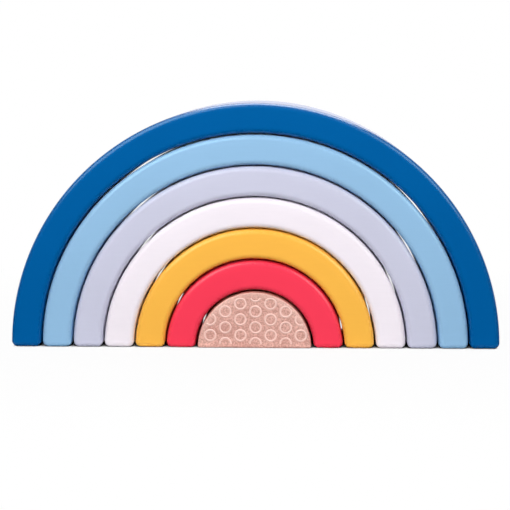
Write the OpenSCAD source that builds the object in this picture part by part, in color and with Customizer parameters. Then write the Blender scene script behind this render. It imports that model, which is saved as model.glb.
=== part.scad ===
// Rainbow stacker: six half-ring arches of lacquered wood, nested over a half-round centre block.
// Every piece is loose, stands on the surface by its own sawn feet and has all its edges rounded over.
// X runs across the width, Y from the front to the back and Z up from the surface it stands on.

/* [Centre block] */
// Radius of the block's round top
block_radius = 28; // [20:0.1:40]
// Rounding of the block's edges
block_rounding = 1.2; // [0.6:0.1:2.5]

/* [Arches] */
// Thickness of each arch, from its inner curve to its outer curve
arch_wall = 14.5; // [10:0.1:22]
// Rounding of the arches' edges
arch_rounding = 2.8; // [1:0.1:4]

/* [Nest] */
// Depth of every piece, from its front face to its back face
depth = 58; // [30:0.5:80]
// Free space between the block and the smallest arch
block_gap = 1; // [0.4:0.1:2]
// Free space between an arch and the next one round it
nest_gap = 0.8; // [0.4:0.1:2]
// Height of the sawn feet above the centre line of the arcs
foot_trim = 0.3; // [0.1:0.1:4]

/* [Hidden] */
$fn = 128;
// Small angle at which a foot's rounding meets the faces beside it
foot_ease = 8;
// How far a cutter runs past what it cuts: the thickness of an arch
cut_spare = arch_wall;

// Radius of an arch's inner curve, by its place in the nest counted outwards from 1
function arch_inner(place) = block_radius + block_gap + (place - 1) * (arch_wall + nest_gap);

// Distance from the centre of a foot's rounding to the faces that it rounds
function foot_inset(rounding) = rounding * cos(foot_ease);

// A section from x = 0 to its width, as tall as the depth, with both far corners rounded
module half_section(width, rounding) {
    translate([0, -depth / 2])
        square([width - rounding, depth]);
    translate([0, rounding - depth / 2])
        square([width, depth - 2 * rounding]);
    for (side = [-1, 1])
        translate([width - rounding, side * (depth / 2 - rounding)])
            circle(rounding);
}

// What a rounding takes off a corner that points along +X and -Y; its +X face leans by an angle
module corner_waste(rounding, lean = 0) {
    reach = rounding + cut_spare;
    difference() {
        polygon([[0, 0], [0, -reach], [reach, -reach], [reach, reach * tan(lean)]]);
        circle(rounding);
    }
}

// Waste at the foot of a curved wall; side is 1 on an outer curve and -1 on an inner one
module curve_foot_waste(radius, rounding, side) {
    inset = foot_inset(rounding);
    centre_radius = radius - side * inset;
    lean = asin((foot_trim + inset) / centre_radius);
    for (left = [0, 1])
        mirror([left, 0, 0])
            rotate([0, 0, lean])
                translate([centre_radius, 0, 0])
                    rotate([0, 0, -lean])
                        mirror([side < 0 ? 1 : 0, 0, 0])
                            linear_extrude(depth + 2 * cut_spare, center = true)
                                corner_waste(rounding, side * lean);
}

// Waste along the feet's front and back edges, over the whole width of a piece
module face_foot_waste(radius, rounding) {
    inset = foot_inset(rounding);
    for (back = [0, 1])
        mirror([0, 0, back])
            translate([0, foot_trim + inset, inset - depth / 2])
                rotate([0, 90, 0])
                    linear_extrude(2 * (radius + cut_spare), center = true)
                        corner_waste(rounding);
}

// All that lies below the feet of a piece
module below_feet(radius) {
    reach = radius + cut_spare;
    translate([-reach, foot_trim - reach, -depth / 2 - cut_spare])
        cube([2 * reach, reach, depth + 2 * cut_spare]);
}

// Stands a piece up, with the centre of its arcs below the surface by the height of the feet
module stand_up() {
    translate([0, 0, -foot_trim])
        rotate([90, 0, 0])
            children();
}

// One arch: a rounded bar turned through half a circle, then sawn and rounded at its feet
module arch(place) {
    inner = arch_inner(place);
    outer = inner + arch_wall;
    stand_up()
        difference() {
            rotate_extrude(angle = 180)
                translate([inner + arch_wall / 2, 0])
                    for (inside = [0, 1])
                        mirror([inside, 0])
                            half_section(arch_wall / 2, arch_rounding);
            below_feet(outer);
            curve_foot_waste(outer, arch_rounding, 1);
            curve_foot_waste(inner, arch_rounding, -1);
            face_foot_waste(outer, arch_rounding);
        }
}

module centre_block() {
    color("#D6AA98")
        stand_up()
            difference() {
                rotate_extrude(angle = 180)
                    half_section(block_radius, block_rounding);
                below_feet(block_radius);
                curve_foot_waste(block_radius, block_rounding, 1);
                face_foot_waste(block_radius, block_rounding);
            }
}

module red_arch() {
    color("#F23A50")
        arch(1);
}

module yellow_arch() {
    color("#F2B441")
        arch(2);
}

module white_arch() {
    color("#F7F1F7")
        arch(3);
}

module grey_arch() {
    color("#CFD0E3")
        arch(4);
}

module light_blue_arch() {
    color("#8CC0E6")
        arch(5);
}

module dark_blue_arch() {
    color("#015D9F")
        arch(6);
}

centre_block();
red_arch();
yellow_arch();
white_arch();
grey_arch();
light_blue_arch();
dark_blue_arch();
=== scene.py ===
# %% [markdown]
# # Dressing a rainbow stacker
# The toy is a nest of loose pieces: lacquered half-ring arches over a half-round block of bare
# beech with a pattern of rings printed on its face. The solids are measured already, and they
# stay where they are. This lesson makes the smooth meshes, the finishes, the light and the
# camera around them. Everything is in metres, with Z up and the printed face towards -Y.

# %% Load the measured solids
import math

import bmesh
import bpy
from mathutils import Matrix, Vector


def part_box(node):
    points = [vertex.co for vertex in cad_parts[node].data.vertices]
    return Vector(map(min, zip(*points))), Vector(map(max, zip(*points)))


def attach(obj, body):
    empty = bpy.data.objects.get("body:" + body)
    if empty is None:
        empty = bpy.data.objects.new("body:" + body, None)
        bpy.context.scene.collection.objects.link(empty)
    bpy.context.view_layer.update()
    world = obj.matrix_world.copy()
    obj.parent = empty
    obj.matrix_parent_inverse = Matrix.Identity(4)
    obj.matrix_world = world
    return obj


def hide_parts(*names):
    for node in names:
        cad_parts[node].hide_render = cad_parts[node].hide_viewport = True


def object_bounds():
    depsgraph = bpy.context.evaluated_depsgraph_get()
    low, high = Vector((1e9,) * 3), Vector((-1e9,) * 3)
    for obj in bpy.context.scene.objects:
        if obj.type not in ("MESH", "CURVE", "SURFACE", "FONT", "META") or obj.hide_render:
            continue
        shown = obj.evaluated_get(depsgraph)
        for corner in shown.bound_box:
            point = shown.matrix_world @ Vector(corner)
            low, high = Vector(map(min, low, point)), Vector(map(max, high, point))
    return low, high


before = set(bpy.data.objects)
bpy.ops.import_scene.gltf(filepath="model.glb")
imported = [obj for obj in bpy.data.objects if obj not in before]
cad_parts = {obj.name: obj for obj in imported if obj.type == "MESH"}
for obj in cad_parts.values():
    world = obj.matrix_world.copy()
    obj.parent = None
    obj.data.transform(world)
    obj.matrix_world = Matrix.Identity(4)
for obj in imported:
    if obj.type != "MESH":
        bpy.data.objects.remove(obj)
cad_low, cad_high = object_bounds()
print("solids:", ", ".join(sorted(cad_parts)))

# %% [markdown]
# ## Sizes
# A maker sets out the whole nest with one compass: every curve has the same centre, which lies
# a little below the floor, because the sawing of the feet takes off a strip. So the top of a
# solid's box gives its outer radius, and the neighbours' radii give the wall. Only what a box
# can't show, such as the roundings, is written here as a number.

# %% Driving sizes
MM = 0.001
FOOT_TRIM = 0.3 * MM
ARCH_ROUNDING = 2.8 * MM
BLOCK_ROUNDING = 1.2 * MM
NEST_GAP = 0.8 * MM
FRONT = cad_low.y
DEPTH = cad_high.y - cad_low.y


def outer_radius(node):
    """Radius of a solid's outer curve, from the top of its box."""
    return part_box(node)[1].z + FOOT_TRIM


BLOCK_RADIUS = outer_radius("centre_block")
WALL = outer_radius("yellow_arch") - outer_radius("red_arch") - NEST_GAP
print(f"block radius {BLOCK_RADIUS / MM:.2f} mm, wall {WALL / MM:.2f} mm, depth {DEPTH / MM:.2f} mm")

# %% [markdown]
# ## Helpers for node trees
# Materials and Geometry Nodes are both trees of nodes. A few small helpers keep the trees
# readable: they add a node and fill its inputs, do a sum on numbers or on vectors, move a value to
# another range and put a vector together. An input takes either a plain value or the output of
# another node.

# %% Node helpers
def feed(tree, socket, value):
    """Links an output to an input, or sets a plain value on it."""
    if isinstance(value, bpy.types.NodeSocket):
        tree.links.new(value, socket)
    else:
        socket.default_value = value


def add(tree, kind, inputs=None, **settings):
    """A new node with its settings made and its inputs filled."""
    node = tree.nodes.new(kind)
    for name, value in settings.items():
        setattr(node, name, value)
    for key, value in (inputs or {}).items():
        feed(tree, node.inputs[key], value)
    return node


def calc(tree, operation, *values):
    """The result of a sum on numbers."""
    inputs = dict(enumerate(values))
    return add(tree, "ShaderNodeMath", inputs, operation=operation).outputs[0]


def vector_calc(tree, operation, *values):
    """The result of a sum on vectors."""
    inputs = dict(enumerate(values))
    node = add(tree, "ShaderNodeVectorMath", inputs, operation=operation)
    return node.outputs["Value" if operation == "LENGTH" else "Vector"]


def spread(tree, value, low, high, to_low=0.0, to_high=1.0):
    """A value moved from one range to another, held at the ends."""
    inputs = {"Value": value, "From Min": low, "From Max": high, "To Min": to_low, "To Max": to_high}
    return add(tree, "ShaderNodeMapRange", inputs, clamp=True).outputs[0]


def vector_of(tree, x, y, z):
    """A vector from three numbers."""
    return add(tree, "ShaderNodeCombineXYZ", {"X": x, "Y": y, "Z": z}).outputs[0]


# %% [markdown]
# ## Colours and patterns
# A paint chart gives a colour as a screen shows it, and Blender works with linear light, so one
# helper turns the first into the second. Wood and coats of paint are patchy. A picture of them
# would need a seam somewhere, so the patches here are noise on the object's own coordinates, and
# noise drawn out along an axis makes grain.

# %% Helpers for finishes
MOST_OF_NOISE = (0.3, 0.7)


def linear_part(part):
    """The linear light of one part of a screen colour, by the sRGB formula."""
    return part / 12.92 if part < 0.04045 else ((part + 0.055) / 1.055) ** 2.4


def linear(code):
    """The linear colour, with its alpha, of a hex code as a paint chart gives it."""
    return (*(linear_part(int(code[at:at + 2], 16) / 255) for at in (1, 3, 5)), 1.0)


def shade(colour, share):
    """A colour made lighter or darker."""
    return (*(min(part * share, 1.0) for part in colour[:3]), 1.0)


def blend_colours(tree, factor, first, second):
    """A colour between two others."""
    node = add(tree, "ShaderNodeMix", data_type="RGBA")
    factor_in, first_in, second_in = node.inputs[0], node.inputs[6], node.inputs[7]
    feed(tree, factor_in, factor)
    feed(tree, first_in, first)
    feed(tree, second_in, second)
    return node.outputs[2]


def noise(tree, place, size, detail=2.0, roughness=0.5):
    """Soft random patches of about this size in metres, from 0 to 1."""
    inputs = {"Vector": place, "Scale": 1 / size, "Detail": detail, "Roughness": roughness}
    return add(tree, "ShaderNodeTexNoise", inputs).outputs[0]


def stretched(tree, place, along):
    """Coordinates that draw a pattern out along each axis by these shares."""
    squeeze = tuple(1 / share for share in along)
    return add(tree, "ShaderNodeMapping", {"Vector": place, "Scale": squeeze}).outputs[0]


def weighed(tree, first, share, second):
    """A share of one value and the rest of another."""
    part = calc(tree, "MULTIPLY", first, share)
    rest = calc(tree, "MULTIPLY", second, 1 - share)
    return calc(tree, "ADD", part, rest)


def bump(tree, height, strength, distance):
    """The normal of a surface that is uneven by up to this distance."""
    inputs = {"Strength": strength, "Distance": distance, "Height": height}
    return add(tree, "ShaderNodeBump", inputs).outputs[0]


def new_finish(name):
    """A new material, its tree, the inputs of its shader and the places on the object."""
    material = bpy.data.materials.new(name)
    material.use_nodes = True
    tree = material.node_tree
    place = add(tree, "ShaderNodeTexCoord").outputs["Object"]
    return material, tree, tree.nodes["Principled BSDF"].inputs, place


# %% [markdown]
# ## Lacquer
# The arches are sprayed with a satin lacquer. Close up it is not one flat colour: the coat is a
# little uneven, the grain of the wood stands up under it by a few thousandths of a millimetre,
# and the spray leaves a fine orange-peel skin. Hands polish it over the roundings, so it is a
# little smoother there. On the curved walls inside the nest the coat is duller, and red and light
# blue are painted deeper there, as painted shade in the gaps. White pigment takes off some of the
# gloss of the two palest coats. All six could be made by hand, but one function keeps them alike
# and leaves only what differs.

# %% The lacquer finish
CLOUD_SIZE = 45 * MM
CLOUD_SHARE = 0.7
FLECK_SIZE = 1.6 * MM
GRAIN_SIZE = 1.1 * MM
GRAIN_RUN = (14, 14, 1)
GRAIN_SHARE = 0.6
PEEL_SIZE = 0.9 * MM
SKIN_STRENGTH = 0.35
SKIN_HEIGHT = 0.03 * MM
COAT_SHADES = (0.965, 1.02)
SATIN = (0.28, 0.31)
EDGE_POLISH = 0.04
WALL_GLOSS = 0.15


def coat_colour(tree, coat, code):
    """A colour that goes a little up and down with the coat."""
    thin, thick = (shade(linear(code), share) for share in COAT_SHADES)
    return blend_colours(tree, spread(tree, coat, *MOST_OF_NOISE), thin, thick)


def lacquer(name, code, painted_shade_code=None, gloss=0.5):
    """A satin lacquer on wood, which may have a deeper colour on the walls inside the nest as painted
    shade.
    """
    material, tree, inputs, place = new_finish(name)
    edge = add(tree, "ShaderNodeAttribute", attribute_name="edge").outputs["Fac"]
    wall = add(tree, "ShaderNodeAttribute", attribute_name="wall").outputs["Fac"]
    cloud = noise(tree, place, CLOUD_SIZE)
    fleck = noise(tree, place, FLECK_SIZE, detail=3.0)
    grain = noise(tree, stretched(tree, place, GRAIN_RUN), GRAIN_SIZE, detail=3.0)
    peel = noise(tree, place, PEEL_SIZE, detail=1.0)

    coat = weighed(tree, cloud, CLOUD_SHARE, grain)
    faces = coat_colour(tree, coat, code)
    walls = coat_colour(tree, coat, painted_shade_code or code)
    satin = spread(tree, fleck, *MOST_OF_NOISE, *SATIN)
    skin = weighed(tree, grain, GRAIN_SHARE, peel)
    # On the walls the colour goes to the second code, which for red and light blue is painted shade.
    feed(tree, inputs["Base Color"], blend_colours(tree, wall, faces, walls))
    feed(tree, inputs["Roughness"], calc(tree, "MULTIPLY_ADD", edge, -EDGE_POLISH, satin))
    feed(tree, inputs["Specular IOR Level"], spread(tree, wall, 0.0, 1.0, gloss, WALL_GLOSS))
    feed(tree, inputs["Normal"], bump(tree, skin, SKIN_STRENGTH, SKIN_HEIGHT))
    return material


# The second code of red and of light blue is painted shade for the walls inside the nest.
LACQUERS = {
    "red": lacquer("red_lacquer", "#FF405A", "#CB2738"),
    "yellow": lacquer("yellow_lacquer", "#FFBD4E"),
    "white": lacquer("white_lacquer", "#F4ECF4", gloss=0.2),
    "grey": lacquer("grey_lacquer", "#CBCCE0", gloss=0.3),
    "light_blue": lacquer("light_blue_lacquer", "#94BFE2", "#74A2CF"),
    "dark_blue": lacquer("dark_blue_lacquer", "#005C9F"),
}
print("lacquers:", ", ".join(LACQUERS))

# %% [markdown]
# ## Grain of beech
# The block is bare beech. Steamed beech is pinkish, with fine pores, short rays that look like
# dark flecks, and soft bands where the years' growth changes. A picture of a plank would smear on
# the round side. Noise drawn out level runs right through the block, as grain does.

# %% The grain
BEECH_PALE = linear("#F4C3B6")
BEECH_DEEP = linear("#DAA296")
BEECH_RAY = linear("#AF786C")
BAND_SIZE = 2.2 * MM
BAND_RUN = (9, 9, 1)
BAND_NOISE = (0.32, 0.68)
FIBRE_SIZE = 0.35 * MM
FIBRE_RUN = (16, 16, 1)
FIBRE_SHARE = 0.25
PORE_SIZE = 0.7 * MM
PORE_NOISE = (0.4, 0.6)
PORE_SHARE = 0.58
RAY_SIZE = 0.32 * MM
RAY_RUN = (5, 5, 1)
RAY_NOISE = (0.58, 0.70)
RAY_SHARE = 0.5


def beech_colour(tree, place):
    """The colour of bare beech at a place, and the height of its grain."""
    bands = noise(tree, stretched(tree, place, BAND_RUN), BAND_SIZE, detail=3.0)
    fibre = noise(tree, stretched(tree, place, FIBRE_RUN), FIBRE_SIZE)
    pores = noise(tree, place, PORE_SIZE, detail=3.0)
    rays = noise(tree, stretched(tree, place, RAY_RUN), RAY_SIZE, detail=1.0)
    wood = blend_colours(tree, spread(tree, bands, *BAND_NOISE), BEECH_DEEP, BEECH_PALE)
    wood = blend_colours(tree, spread(tree, fibre, *MOST_OF_NOISE, 0.0, FIBRE_SHARE), wood, BEECH_PALE)
    wood = blend_colours(tree, spread(tree, pores, *PORE_NOISE, PORE_SHARE, 0.0), wood, BEECH_RAY)
    fleck = spread(tree, rays, *RAY_NOISE, 0.0, RAY_SHARE)
    return blend_colours(tree, fleck, wood, BEECH_RAY), calc(tree, "SUBTRACT", fibre, fleck)


# %% [markdown]
# ## Sanded beech
# The face is sanded smooth. Its round rim is painted a little paler as a painted highlight, but
# not down at the feet. The round side beyond the rim, in the gap under the arches, is painted
# darker as painted shade. Paint on the mesh could show both. The distance from the round edge,
# worked out in the material, does it for a block of any size.

# %% The beech finish
# Colours of the painted highlight on the rim and of the painted shade on the round side.
BEECH_RIM_HIGHLIGHT = linear("#FFDCD0")
BEECH_SIDE_SHADE = linear("#B85C4C")
RIM_HIGHLIGHT_BAND = (3.2 * MM, 1.6 * MM)
RIM_HIGHLIGHT_RISE = (4 * MM, 12 * MM)
RIM_HIGHLIGHT_SHARE = 0.25
SIDE_SHADE_DEPTH = 0.4 * MM
SIDE_SHADE_SHARE = 0.75
WOOD_HEIGHTS = (-0.3, 0.8)
WOOD_MATT = (0.5, 0.4)
WOOD_BUMP_STRENGTH = 0.5
WOOD_BUMP_HEIGHT = 0.04 * MM


def beech():
    """Sanded bare beech, with a painted highlight on its rim and painted shade on its round side."""
    material, tree, inputs, place = new_finish("beech")
    wood, height = beech_colour(tree, place)
    from_centre = vector_calc(tree, "MULTIPLY_ADD", place, (1.0, 0.0, 1.0), (0.0, 0.0, FOOT_TRIM))
    off_edge = calc(tree, "SUBTRACT", BLOCK_RADIUS, vector_calc(tree, "LENGTH", from_centre))
    level = add(tree, "ShaderNodeSeparateXYZ", {"Vector": place}).outputs["Z"]
    # A painted highlight: the rim is painted paler, fading out towards the feet.
    rim_highlight = calc(tree, "MULTIPLY", spread(tree, off_edge, *RIM_HIGHLIGHT_BAND, 0.0, RIM_HIGHLIGHT_SHARE),
               spread(tree, level, *RIM_HIGHLIGHT_RISE))
    # Painted shade: the round side beyond the rim is painted darker and redder.
    side_shade = spread(tree, off_edge, SIDE_SHADE_DEPTH, 0.0, 0.0, SIDE_SHADE_SHARE)
    wood = blend_colours(tree, rim_highlight, wood, BEECH_RIM_HIGHLIGHT)
    wood = blend_colours(tree, side_shade, wood, BEECH_SIDE_SHADE)
    feed(tree, inputs["Base Color"], wood)
    feed(tree, inputs["Roughness"], spread(tree, height, *WOOD_HEIGHTS, *WOOD_MATT))
    feed(tree, inputs["Normal"], bump(tree, height, WOOD_BUMP_STRENGTH, WOOD_BUMP_HEIGHT))
    return material


BEECH = beech()
print("bare wood:", BEECH.name)

# %% [markdown]
# ## Ink
# The rings on the block are a pale ink, pressed on thin. One flat colour would look like a
# sticker. So the ink covers the same wood more in some places than in others, and a little of the
# grain shows through.

# %% The ink finish
INK_COLOUR = linear("#FCD3C9")
INK_PATCH = 0.5 * MM
INK_NOISE = (0.25, 0.5)
INK_COVER = (0.72, 0.97)
INK_ROUGHNESS = 0.55
INK_GLOSS = 0.3


def ring_ink():
    """Thin pale ink that lets a little of the wood show."""
    material, tree, inputs, place = new_finish("ring_ink")
    wood, _ = beech_colour(tree, place)
    patches = noise(tree, place, INK_PATCH, detail=3.0)
    cover = spread(tree, patches, *INK_NOISE, *INK_COVER)
    feed(tree, inputs["Base Color"], blend_colours(tree, cover, wood, INK_COLOUR))
    feed(tree, inputs["Roughness"], INK_ROUGHNESS)
    feed(tree, inputs["Specular IOR Level"], INK_GLOSS)
    return material


RING_INK = ring_ink()
print("ink:", RING_INK.name)

# %% [markdown]
# ## One tree for every arch
# A real arch is sawn from a plank and every edge is run over a rounding cutter. All six follow
# one rule, so one Geometry Nodes tree makes them all. A bevelled box with a bend modifier would
# come close, but the bend stretches the roundings. So the tree starts from a box of fine grid
# lines with a band of lines along every edge, bends only the inner part of it, the core, and
# then moves every point off that core by the rounding.

# %% Start a tree with named inputs
def new_shape_tree(name, inputs):
    """An empty Geometry Nodes tree with these named inputs, and its input sockets by name."""
    tree = bpy.data.node_groups.new(name, "GeometryNodeTree")
    for label, kind in inputs.items():
        tree.interface.new_socket(name=label, in_out="INPUT", socket_type=f"NodeSocket{kind}")
    tree.interface.new_socket(name="Mesh", in_out="OUTPUT", socket_type="NodeSocketGeometry")
    return tree, tree.nodes.new("NodeGroupInput").outputs


def end_shape_tree(tree, geometry, material):
    """The last nodes of a tree: plain geometry with its material."""
    plain = add(tree, "GeometryNodeRealizeInstances", {"Geometry": geometry}).outputs[0]
    dressed = add(tree, "GeometryNodeSetMaterial", {"Geometry": plain, "Material": material}).outputs[0]
    feed(tree, tree.nodes.new("NodeGroupOutput").inputs[0], dressed)


# %% [markdown]
# ## Grid lines for the core and the edges
# Along each axis of the box the middle lines share out the core, and the lines of the edge bands
# share out the turn of the rounding. The tangent of that turn is a slope. Put together, the slopes
# of the three axes say which way a point lies off the core, on edges and corners too.

# %% The box of grid lines
STEP_NAMES = {"X": "Arc Steps", "Y": "Wall Steps", "Z": "Depth Steps"}


def axis_lines(tree, share_of_box, steps, edge_steps):
    """Along one axis of the box: the share of the core, and the slope of the rounding."""
    band = calc(tree, "DIVIDE", edge_steps, calc(tree, "MULTIPLY_ADD", edge_steps, 2.0, steps))
    far_band = calc(tree, "SUBTRACT", 1.0, band)
    core_share = spread(tree, share_of_box, band, far_band)
    near_turn = spread(tree, share_of_box, 0.0, band, -1.0, 0.0)
    far_turn = spread(tree, share_of_box, far_band, 1.0, 0.0, 1.0)
    turn = calc(tree, "ADD", near_turn, far_turn)
    return core_share, calc(tree, "TANGENT", calc(tree, "MULTIPLY", turn, math.pi / 4))


def grid_box(tree, given):
    """The box of grid lines, with the core's shares and the direction off the core at each point."""
    edge_steps = given["Edge Steps"]
    box_place = add(tree, "GeometryNodeInputPosition").outputs[0]
    box_axes = add(tree, "ShaderNodeSeparateXYZ", {"Vector": box_place}).outputs
    lines, core, slope = {}, {}, {}
    for axis, label in STEP_NAMES.items():
        steps = given[label]
        lines[f"Vertices {axis}"] = calc(
            tree, "ADD", calc(tree, "MULTIPLY_ADD", edge_steps, 2.0, steps), 1.0)
        share_of_box = calc(tree, "ADD", box_axes[axis], 0.5)
        core[axis], slope[axis] = axis_lines(tree, share_of_box, steps, edge_steps)
    grid = add(tree, "GeometryNodeMeshCube", {"Size": (1.0, 1.0, 1.0), **lines}).outputs["Mesh"]
    facing = vector_calc(tree, "NORMALIZE", vector_of(tree, slope["X"], slope["Y"], slope["Z"]))
    return grid, core, facing


# %% [markdown]
# ## Bending the core
# The core is bent round the centre of the arcs, with its feet level. Each point then moves off it
# by the rounding, square to it, and at the edges and corners along the directions in between.
# That gives true round edges and ball corners, and feet that lie flat on the floor.

# %% Places on the arch
def core_places(tree, given, core):
    """The outward direction at each point of the bent core, and its place."""
    rounding = given["Rounding"]
    core_wall = calc(tree, "MULTIPLY_ADD", rounding, -2.0, given["Wall"])
    core_inner = calc(tree, "ADD", given["Inner Radius"], rounding)
    radius = calc(tree, "MULTIPLY_ADD", core["Y"], core_wall, core_inner)
    core_foot = calc(tree, "ADD", given["Foot Trim"], rounding)
    foot_angle = calc(tree, "ARCSINE", calc(tree, "DIVIDE", core_foot, radius))
    sweep = calc(tree, "MULTIPLY_ADD", foot_angle, -2.0, math.pi)
    angle = calc(tree, "MULTIPLY_ADD", core["X"], sweep, foot_angle)
    outward = vector_of(tree, calc(tree, "COSINE", angle), 0.0, calc(tree, "SINE", angle))

    core_depth = calc(tree, "MULTIPLY_ADD", rounding, -2.0, given["Depth"])
    behind = calc(tree, "MULTIPLY", calc(tree, "SUBTRACT", core["Z"], 0.5), core_depth)
    level = calc(tree, "MULTIPLY", given["Foot Trim"], -1.0)
    return outward, vector_calc(
        tree, "MULTIPLY_ADD", outward, vector_of(tree, radius, radius, radius),
        vector_of(tree, 0.0, behind, level))


def arch_places(tree, given, core, facing):
    """The place of each point on the arch, off the bent core by the rounding."""
    outward, core_place = core_places(tree, given, core)
    rounding = given["Rounding"]
    along, across, through = add(tree, "ShaderNodeSeparateXYZ", {"Vector": facing}).outputs
    downward = calc(tree, "MULTIPLY", calc(tree, "ABSOLUTE", along), -1.0)
    off_core = vector_calc(
        tree, "MULTIPLY_ADD", outward, vector_of(tree, across, across, across),
        vector_of(tree, 0.0, through, downward))
    return vector_calc(
        tree, "MULTIPLY_ADD", vector_calc(tree, "NORMALIZE", off_core),
        vector_of(tree, rounding, rounding, rounding), core_place)


# %% [markdown]
# ## Marks for the finish
# The lacquer has to know where it is. So each point carries two numbers: how far it is on a
# rounding, and how far it is on a wall inside the nest. They are stored as named attributes,
# which the material reads.

# %% The arch tree
WALL_FROM = 0.7
WALL_FULL = 0.95


def arch_marks(tree, given, facing):
    """The share of a rounding and the share of a nest wall at each point."""
    sizes = vector_calc(tree, "ABSOLUTE", facing)
    size_of = add(tree, "ShaderNodeSeparateXYZ", {"Vector": sizes}).outputs
    flatness = calc(tree, "MAXIMUM", calc(tree, "MAXIMUM", size_of[0], size_of[1]), size_of[2])
    across = add(tree, "ShaderNodeSeparateXYZ", {"Vector": facing}).outputs["Y"]
    inside = spread(tree, across, -WALL_FROM, -WALL_FULL)
    outside = spread(tree, across, WALL_FROM, WALL_FULL)
    return {
        "edge": spread(tree, flatness, 1.0, math.sqrt(0.5)),
        # The wall share also carries the painted shade of red and light blue; outer walls join it by the
        # given share.
        "wall": calc(tree, "MULTIPLY_ADD", outside, given["Outer Shade And Dulling"], inside),
    }


def arch_tree():
    """A half-ring bar with rounded edges, standing on its two feet."""
    tree, given = new_shape_tree("half_ring_arch", {
        "Inner Radius": "Float", "Wall": "Float", "Depth": "Float", "Rounding": "Float",
        "Foot Trim": "Float", "Outer Shade And Dulling": "Float", "Arc Steps": "Int", "Wall Steps": "Int",
        "Depth Steps": "Int", "Edge Steps": "Int", "Lacquer": "Material",
    })
    grid, core, facing = grid_box(tree, given)
    for label, value in arch_marks(tree, given, facing).items():
        grid = add(tree, "GeometryNodeStoreNamedAttribute",
                   {"Geometry": grid, "Name": label, "Value": value},
                   data_type="FLOAT", domain="POINT").outputs[0]
    places = arch_places(tree, given, core, facing)
    bent = add(tree, "GeometryNodeSetPosition", {"Geometry": grid, "Position": places}).outputs[0]
    smooth = add(tree, "GeometryNodeSetShadeSmooth", {"Geometry": bent}).outputs[0]
    end_shape_tree(tree, smooth, given["Lacquer"])
    return tree


ARCH_TREE = arch_tree()
print("arch tree:", len(ARCH_TREE.nodes), "nodes")

# %% [markdown]
# ## From a tree to a plain mesh
# A modifier is handy while a shape is being tried. A finished piece is a plain mesh, so that
# it goes anywhere. The inputs are set by their identifiers before the tree first runs.

# %% Run a tree
def run_tree(name, tree, values):
    """A new object with the plain mesh that a tree makes from these input values."""
    piece = bpy.data.objects.new(name, bpy.data.meshes.new(f"{name}_start"))
    bpy.context.scene.collection.objects.link(piece)
    shape = piece.modifiers.new("shape", "NODES")
    shape.node_group = tree
    for item in tree.interface.items_tree:
        if item.in_out == "INPUT":
            shape[item.identifier] = values[item.name]
    ready = bpy.context.evaluated_depsgraph_get()
    mesh = bpy.data.meshes.new_from_object(
        piece.evaluated_get(ready), preserve_all_data_layers=True, depsgraph=ready)
    piece.modifiers.clear()
    piece.data = mesh
    mesh.name = name
    return piece


# %% [markdown]
# ## Six arches
# Each arch takes its radius from its solid and its coat from the table of lacquers. Only the two
# largest keep the face colour and the satin coat on their outer walls. On the other four the outer
# wall is treated as a wall inside the nest: duller, and on red painted deeper as painted shade.

# %% The six arches
UNSHADED_OUTSIDE = ("light_blue", "dark_blue")

for colour, finish in LACQUERS.items():
    node = f"{colour}_arch"
    arch = run_tree(f"arch_{colour}", ARCH_TREE, {
        "Inner Radius": outer_radius(node) - WALL, "Wall": WALL, "Depth": DEPTH,
        "Rounding": ARCH_ROUNDING, "Foot Trim": FOOT_TRIM,
        "Outer Shade And Dulling": 0.0 if colour in UNSHADED_OUTSIDE else 1.0, "Arc Steps": 128, "Wall Steps": 4,
        "Depth Steps": 8, "Edge Steps": 6, "Lacquer": finish,
    })
    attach(arch, colour)
    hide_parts(node)
    print(f"{arch.name}: {len(arch.data.polygons)} faces")

# %% [markdown]
# ## The block
# The block is a half-disc of beech, with a smaller rounding than the arches have. Its outline
# is a core of an arc and a straight foot, grown by a reach. Loops of that outline with the
# reach growing as a quarter circle make the front edge, and the same loops in turn make the
# back. Skinning the loops is plain mesh work, so it is done with bmesh and not with nodes.

# %% Loops round the block
CORNER_STEPS = 8
BLOCK_ARC_STEPS = 96
FLOOR_STEPS = 16
SIDE_STEPS = 8
SAME_POINT = 0.001 * MM


def block_loop(core_radius, core_floor, reach):
    """Points (x, z) of the block's outline: its core grown by a reach."""
    lean = math.asin((core_floor + FOOT_TRIM) / core_radius)
    corner = core_radius * math.cos(lean)
    points = []
    for step in range(CORNER_STEPS + 1):
        angle = -math.pi / 2 + (math.pi / 2 + lean) * step / CORNER_STEPS
        points.append((corner + reach * math.cos(angle), core_floor + reach * math.sin(angle)))
    for step in range(1, BLOCK_ARC_STEPS):
        angle = lean + (math.pi - 2 * lean) * step / BLOCK_ARC_STEPS
        radius = core_radius + reach
        points.append((radius * math.cos(angle), radius * math.sin(angle) - FOOT_TRIM))
    points += [(-x, z) for x, z in reversed(points[:CORNER_STEPS + 1])]
    for step in range(1, FLOOR_STEPS):
        points.append((corner * (2 * step / FLOOR_STEPS - 1), core_floor - reach))
    return points


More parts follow.
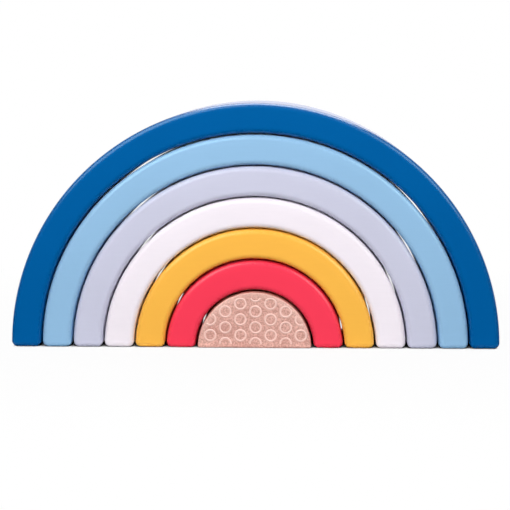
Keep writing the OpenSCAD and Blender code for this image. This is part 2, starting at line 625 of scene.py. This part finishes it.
def block_mesh(name, front, back):
    """The block's closed mesh between its front and back faces."""
    core_radius = BLOCK_RADIUS - BLOCK_ROUNDING
    inset = BLOCK_ROUNDING / 2
    half = [(front, block_loop(core_radius - inset, BLOCK_ROUNDING + inset, 0.0))]
    for step in range(CORNER_STEPS + 1):
        turn = math.pi / 2 * step / CORNER_STEPS
        depth = BLOCK_ROUNDING * (1 - math.cos(turn))
        reach = BLOCK_ROUNDING * math.sin(turn)
        half.append((front + depth, block_loop(core_radius, BLOCK_ROUNDING, reach)))
    first, outline = half[-1]
    last = back - BLOCK_ROUNDING
    side = [(first + (last - first) * step / SIDE_STEPS, outline) for step in range(1, SIDE_STEPS)]
    loops = half + side + [(front + back - y, points) for y, points in reversed(half)]

    shape = bmesh.new()
    rows = [[shape.verts.new((x, y, z)) for x, z in points] for y, points in loops]
    for near, far in zip(rows, rows[1:]):
        for at in range(len(near)):
            shape.faces.new((near[at - 1], near[at], far[at], far[at - 1]))
    shape.faces.new(rows[0])
    shape.faces.new(rows[-1])
    bmesh.ops.remove_doubles(shape, verts=shape.verts, dist=SAME_POINT)
    bmesh.ops.recalc_face_normals(shape, faces=shape.faces)
    for face in shape.faces:
        face.smooth = True
    mesh = bpy.data.meshes.new(name)
    shape.to_mesh(mesh)
    shape.free()
    return mesh


# %% [markdown]
# ## Room for the print
# The ink stands out from the wood by half the thickness of paper. The solid's front is the front
# of the ink, so the wood starts that much behind it, and the printed block keeps its depth.

# %% The block
INK = 0.05 * MM
block_face = FRONT + INK
block = bpy.data.objects.new("block_beech", block_mesh("block_beech", block_face, FRONT + DEPTH))
bpy.context.scene.collection.objects.link(block)
block.data.materials.append(BEECH)
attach(block, "block")
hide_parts("centre_block")
print(f"{block.name}: {len(block.data.polygons)} faces")

# %% [markdown]
# ## The printed rings
# The print is a field of thin rings in columns, with every second column half a step higher. It
# sits a little to the right of the middle, has a level top and bottom, and stops where the
# block's edge begins to turn, so the outer rings are cut off. The ink is a real skin, thinner
# than paper: it keeps a sharp edge at any distance, where a picture would blur. The tree first
# sets points on a grid and lifts every second column.

# %% Points for the rings
def ring_points(tree, given):
    """The points of the staggered grid, in the middle of the ink."""
    width = calc(tree, "MULTIPLY", calc(tree, "SUBTRACT", given["Columns"], 1.0), given["Column Pitch"])
    height = calc(tree, "MULTIPLY", calc(tree, "SUBTRACT", given["Rows"], 1.0), given["Row Pitch"])
    points = add(tree, "GeometryNodeMeshGrid", {
        "Size X": width, "Size Y": height,
        "Vertices X": given["Columns"], "Vertices Y": given["Rows"]}).outputs["Mesh"]
    axes = add(tree, "ShaderNodeSeparateXYZ",
               {"Vector": add(tree, "GeometryNodeInputPosition").outputs[0]}).outputs
    column = calc(tree, "ROUND", calc(tree, "DIVIDE", axes["X"], given["Column Pitch"]))
    is_odd = calc(tree, "MODULO", calc(tree, "ABSOLUTE", column), 2.0)
    row_place = calc(tree, "ADD", axes["Y"], calc(tree, "MULTIPLY", height, 0.5))
    lifted = calc(tree, "MULTIPLY_ADD", is_odd, calc(tree, "MULTIPLY", given["Row Pitch"], 0.5), row_place)
    middle = calc(tree, "MULTIPLY_ADD", given["Ink"], 0.5, given["Front"])
    across = calc(tree, "ADD", axes["X"], given["Shift"])
    place = vector_of(tree, across, middle, calc(tree, "ADD", lifted, given["First Height"]))
    return add(tree, "GeometryNodeSetPosition", {"Geometry": points, "Position": place}).outputs[0]


# %% [markdown]
# ## One ring, and the field
# One ring is a circle with a flat strip of ink for its profile. The tree puts one on each point.
# The printed field is where a level band and the disc of the flat face overlap, so a Boolean of
# all three keeps only the ink inside it.

# %% The ring tree
UPRIGHT = (math.pi / 2, 0.0, 0.0)
RING_SIDES = 48
DISC_SIDES = 128


def one_ring(tree, given):
    """A flat ring of ink."""
    line = calc(tree, "MULTIPLY_ADD", given["Stroke"], -0.5, given["Ring Radius"])
    circle = add(tree, "GeometryNodeCurvePrimitiveCircle",
                 {"Resolution": RING_SIDES, "Radius": line}, mode="RADIUS").outputs[0]
    strip = add(tree, "GeometryNodeCurvePrimitiveQuadrilateral",
                {"Width": given["Stroke"], "Height": given["Ink"]}, mode="RECTANGLE").outputs[0]
    return add(tree, "GeometryNodeCurveToMesh", {"Curve": circle, "Profile Curve": strip}).outputs[0]


def printed_field(tree, given):
    """The disc of the flat face, and the level band."""
    front, radius = given["Front"], given["Print Radius"]
    disc = add(tree, "GeometryNodeMeshCylinder",
               {"Vertices": DISC_SIDES, "Radius": radius, "Depth": radius}).outputs["Mesh"]
    disc_place = vector_of(tree, 0.0, front, calc(tree, "MULTIPLY", given["Foot Trim"], -1.0))
    disc = add(tree, "GeometryNodeTransform",
               {"Geometry": disc, "Translation": disc_place, "Rotation": UPRIGHT}).outputs[0]
    reach = calc(tree, "MULTIPLY", radius, 2.0)
    tall = calc(tree, "SUBTRACT", given["Print Top"], given["Print Floor"])
    band = add(tree, "GeometryNodeMeshCube", {"Size": vector_of(tree, reach, reach, tall)}).outputs["Mesh"]
    band_level = calc(tree, "MULTIPLY_ADD", tall, 0.5, given["Print Floor"])
    band_place = vector_of(tree, 0.0, front, band_level)
    band = add(tree, "GeometryNodeTransform", {"Geometry": band, "Translation": band_place}).outputs[0]
    return disc, band


def ring_tree():
    """Rings of ink on a staggered grid, cut to a level band and a disc."""
    tree, given = new_shape_tree("printed_rings", {
        "Columns": "Int", "Rows": "Int", "Column Pitch": "Float", "Row Pitch": "Float",
        "First Height": "Float", "Shift": "Float", "Ring Radius": "Float", "Stroke": "Float",
        "Ink": "Float", "Front": "Float", "Print Radius": "Float", "Print Floor": "Float",
        "Print Top": "Float", "Foot Trim": "Float", "Finish": "Material",
    })
    rings = add(tree, "GeometryNodeInstanceOnPoints", {
        "Points": ring_points(tree, given), "Instance": one_ring(tree, given),
        "Rotation": UPRIGHT}).outputs[0]
    rings = add(tree, "GeometryNodeRealizeInstances", {"Geometry": rings}).outputs[0]
    cut = add(tree, "GeometryNodeMeshBoolean", operation="INTERSECT", solver="EXACT")
    for solid in (rings, *printed_field(tree, given)):
        tree.links.new(solid, cut.inputs["Mesh 2"])
    end_shape_tree(tree, cut.outputs["Mesh"], given["Finish"])
    return tree


RING_TREE = ring_tree()
print("ring tree:", len(RING_TREE.nodes), "nodes")

# %% [markdown]
# ## Printing the block
# The rings could be placed one by one. The tree's inputs hold the whole pattern in a few measures
# instead, taken in the photo and turned into millimetres, so another print is a change of numbers.

# %% Print the rings
PRINT_INSET = 1.3 * MM
print_piece = run_tree("ring_print", RING_TREE, {
    "Columns": 7, "Rows": 4, "Column Pitch": 7.4 * MM, "Row Pitch": 7.86 * MM,
    "First Height": 2.38 * MM, "Shift": 0.5 * MM, "Ring Radius": 3.12 * MM, "Stroke": 0.92 * MM,
    "Ink": 2 * INK, "Front": FRONT, "Print Radius": BLOCK_RADIUS - PRINT_INSET,
    "Print Floor": 2.1 * MM, "Print Top": 24.85 * MM, "Foot Trim": FOOT_TRIM, "Finish": RING_INK,
})
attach(print_piece, "block")
print(f"{print_piece.name}: {len(print_piece.data.polygons)} faces")

# %% [markdown]
# ## How the set is seen
# The set is a white sweep: floor and background run into each other with no line between. A white
# room all round would also show in the lacquer and wash out its colours. So only the camera sees
# it white all over. To the light it is pale from the toy backwards, in reflections it is white
# only farther behind, and to the front it is black cloth, as a studio would hang it.

# %% How the set is seen
def seen_as(tree, along, lit, mirrored):
    """The white share of a place of the set, and how pale it is, which fades out to the front."""
    path = add(tree, "ShaderNodeLightPath").outputs
    straight = calc(tree, "MAXIMUM", path["Is Camera Ray"], path["Is Transmission Ray"])
    glossy = path["Is Glossy Ray"]
    pale_lit = calc(tree, "MULTIPLY", spread(tree, along, *lit), calc(tree, "SUBTRACT", 1.0, glossy))
    pale_mirrored = calc(tree, "MULTIPLY", spread(tree, along, *mirrored), glossy)
    pale = calc(tree, "MAXIMUM", straight, calc(tree, "ADD", pale_lit, pale_mirrored))
    return calc(tree, "MULTIPLY", calc(tree, "MAXIMUM", straight, glossy), pale), pale


# %% [markdown]
# ## The floor
# In the picture the floor is burnt out to plain white, and only the corners under the feet stay
# dark. Lamps strong enough for that would burn out the toy as well. So the floor mixes a glowing
# white with a matt floor. Ambient Occlusion finds the corners, where the matt floor shows, and its
# colour there is painted darker as painted shade. A small share of it round the toy makes the soft
# shadow.

# %% The floor
FLOOR_SIZE = 12.0
FLOOR_PALE = 0.8
PAINTED_CORNER_SHADE = 0.05
CORNER_REACH = 40 * MM
CORNER_OPEN = (0.2, 0.5)
MATT_OPEN = (0.0, 0.3)
FLOOR_SHADOW = 0.05
SHADOW_REACH = 0.30
FLOOR_LIT = (FRONT - 5 * MM, FRONT)
FLOOR_MIRRORED = (0.2, 0.5)
WHITE = (1.0, 1.0, 1.0, 1.0)


def floor_finish():
    """A pale floor, burnt out to white but for the corners under the feet and a soft shadow."""
    material = bpy.data.materials.new("white_sweep")
    material.use_nodes = True
    tree = material.node_tree
    tree.nodes.clear()
    place = add(tree, "ShaderNodeTexCoord").outputs["Object"]
    along = add(tree, "ShaderNodeSeparateXYZ", {"Vector": place}).outputs["Y"]
    white_share, pale = seen_as(tree, along, FLOOR_LIT, FLOOR_MIRRORED)
    open_share = add(
        tree, "ShaderNodeAmbientOcclusion", {"Distance": CORNER_REACH}, samples=8).outputs["AO"]
    away = vector_calc(tree, "LENGTH", place)
    shadow = spread(tree, away, SHADOW_REACH / 2, SHADOW_REACH, FLOOR_SHADOW, 0.0)
    burnt = calc(tree, "MULTIPLY", white_share, spread(tree, open_share, *CORNER_OPEN))
    burnt = calc(tree, "MULTIPLY", burnt, calc(tree, "SUBTRACT", 1.0, shadow))
    # In the corners the matt floor's own colour is painted darker, down to a painted shade.
    matt_pale_and_shade = spread(tree, open_share, *MATT_OPEN, PAINTED_CORNER_SHADE, FLOOR_PALE)
    grey = calc(tree, "MULTIPLY", pale, matt_pale_and_shade)
    matt = add(tree, "ShaderNodeBsdfDiffuse", {"Color": vector_of(tree, grey, grey, grey)}).outputs[0]
    white = add(tree, "ShaderNodeEmission", {"Color": WHITE, "Strength": 1.0}).outputs[0]
    mixed = add(tree, "ShaderNodeMixShader", {0: burnt, 1: matt, 2: white}).outputs[0]
    feed(tree, tree.nodes.new("ShaderNodeOutputMaterial").inputs["Surface"], mixed)
    return material


floor_mesh = bpy.data.meshes.new("floor")
half_floor = FLOOR_SIZE / 2
corners = [(x * half_floor, y * half_floor, cad_low.z) for x, y in ((-1, -1), (1, -1), (1, 1), (-1, 1))]
floor_mesh.from_pydata(corners, [], [(0, 1, 2, 3)])
floor_mesh.materials.append(floor_finish())
floor = bpy.data.objects.new("floor", floor_mesh)
bpy.context.scene.collection.objects.link(floor)
print("floor:", FLOOR_SIZE, "m")

# %% [markdown]
# ## The sky of the studio
# Away from the floor, soft light comes from all round but the front. A picture of a real studio
# could give it, with lamps that can't be moved. A plain level that fades to the front leaves the
# lamps free.

# %% The sky
SKY_LEVEL = 0.4
SKY_LIT = (-0.3, 0.3)
SKY_MIRRORED = (0.3, 0.75)


def studio_sky():
    """Soft light from all round, plain white where it is seen and black cloth in front."""
    world = bpy.data.worlds.new("studio")
    bpy.context.scene.world = world
    world.use_nodes = True
    tree = world.node_tree
    tree.nodes.clear()
    facing = add(tree, "ShaderNodeTexCoord").outputs["Generated"]
    along = add(tree, "ShaderNodeSeparateXYZ", {"Vector": facing}).outputs["Y"]
    white_share, pale = seen_as(tree, along, SKY_LIT, SKY_MIRRORED)
    level = calc(tree, "MULTIPLY", pale, SKY_LEVEL)
    soft = add(tree, "ShaderNodeBackground", {"Color": WHITE, "Strength": level}).outputs[0]
    white = add(tree, "ShaderNodeBackground", {"Color": WHITE, "Strength": 1.0}).outputs[0]
    mixed = add(tree, "ShaderNodeMixShader", {0: white_share, 1: soft, 2: white}).outputs[0]
    feed(tree, tree.nodes.new("ShaderNodeOutputWorld").inputs["Surface"], mixed)


studio_sky()
print("sky level:", SKY_LEVEL)

# %% [markdown]
# ## Lamps
# One set of lamps could do both light and gloss, but then no highlight moves without the light
# changing too. So the two are set apart, as a photographer does with flags and gels. Plain lamps
# light the colours: one high in front for the faces, three weaker fills for the sides and the back.
# Other lamps show in the lacquer alone. Two cool softboxes, high on the left and on the right,
# run along the rounded edges as pale lines. A bright ceiling and a low wall behind turn the top of
# the outer arch, seen at a glancing angle, into a pale strip.

# %% The lamps
PLAIN = (1.0, 1.0, 1.0)
COOL = (0.76, 1.0, 0.94)
LAVENDER = (0.97, 0.88, 1.0)
MIDDLE = (0.0, FRONT, cad_high.z / 2)


def softbox(name, place, aim, width, height, power, tint=PLAIN, mirrored=False):
    """A soft rectangular lamp turned to an aim, which lights the toy or is only mirrored in it."""
    lamp = bpy.data.lights.new(name, "AREA")
    lamp.shape = "RECTANGLE"
    lamp.size = width
    lamp.size_y = height
    lamp.energy = power
    lamp.color = tint
    lamp.cycles.use_multiple_importance_sampling = mirrored
    holder = bpy.data.objects.new(name, lamp)
    holder.location = place
    holder.rotation_euler = (Vector(aim) - Vector(place)).to_track_quat("-Z", "Y").to_euler()
    holder.visible_diffuse = not mirrored
    holder.visible_glossy = mirrored
    holder.visible_camera = False
    bpy.context.scene.collection.objects.link(holder)


softbox("front", (-0.03, -0.74, 0.39), MIDDLE, 0.5, 0.3, 7.8)
softbox("left_fill", (-0.75, 0.50, 0.20), MIDDLE, 0.5, 0.3, 4.4)
softbox("right_fill", (0.75, 0.50, 0.20), MIDDLE, 0.5, 0.3, 4.4)
softbox("rear_fill", (0.05, 0.85, 0.25), MIDDLE, 0.5, 0.3, 1.4)
softbox("left_line", (-0.46, -0.36, 0.695), MIDDLE, 0.7, 0.7, 6.8, COOL, mirrored=True)
softbox("right_line", (0.60, -0.36, 0.53), MIDDLE, 0.5, 0.5, 3.2, COOL, mirrored=True)
softbox("ceiling", (0.12, 0.45, 1.40), (0.12, 0.45, 0.0), 1.2, 1.16, 36.0, mirrored=True)
softbox("back_wall", (0.0, 1.20, 0.35), MIDDLE, 1.2, 0.5, 1.6, LAVENDER, mirrored=True)
print("lamps:", ", ".join(lamp.name for lamp in bpy.data.lights))

# %% [markdown]
# ## Camera
# The picture is taken from almost straight ahead with a long lens, from a little right of the
# middle and just above the top of the nest, so the outer arch's top shows as a thin strip. A short
# lens close by would fill the picture as well, but it would look much farther into the gaps.

# %% The camera
CAMERA_PLACE = Vector((0.0215, FRONT - 0.700, 0.1355))
CAMERA_AIM = Vector((0.0003, FRONT, 0.04608))
CAMERA_LENS = 102.45
FILM_WIDTH = 36.0

camera = bpy.data.cameras.new("camera")
camera.lens = CAMERA_LENS
camera.sensor_width = FILM_WIDTH
camera_holder = bpy.data.objects.new("camera", camera)
camera_holder.location = CAMERA_PLACE
camera_holder.rotation_euler = (CAMERA_AIM - CAMERA_PLACE).to_track_quat("-Z", "Y").to_euler()
bpy.context.scene.collection.objects.link(camera_holder)
bpy.context.scene.camera = camera_holder
bpy.context.scene.view_settings.view_transform = "Standard"
print("camera at", [round(part, 3) for part in CAMERA_PLACE])
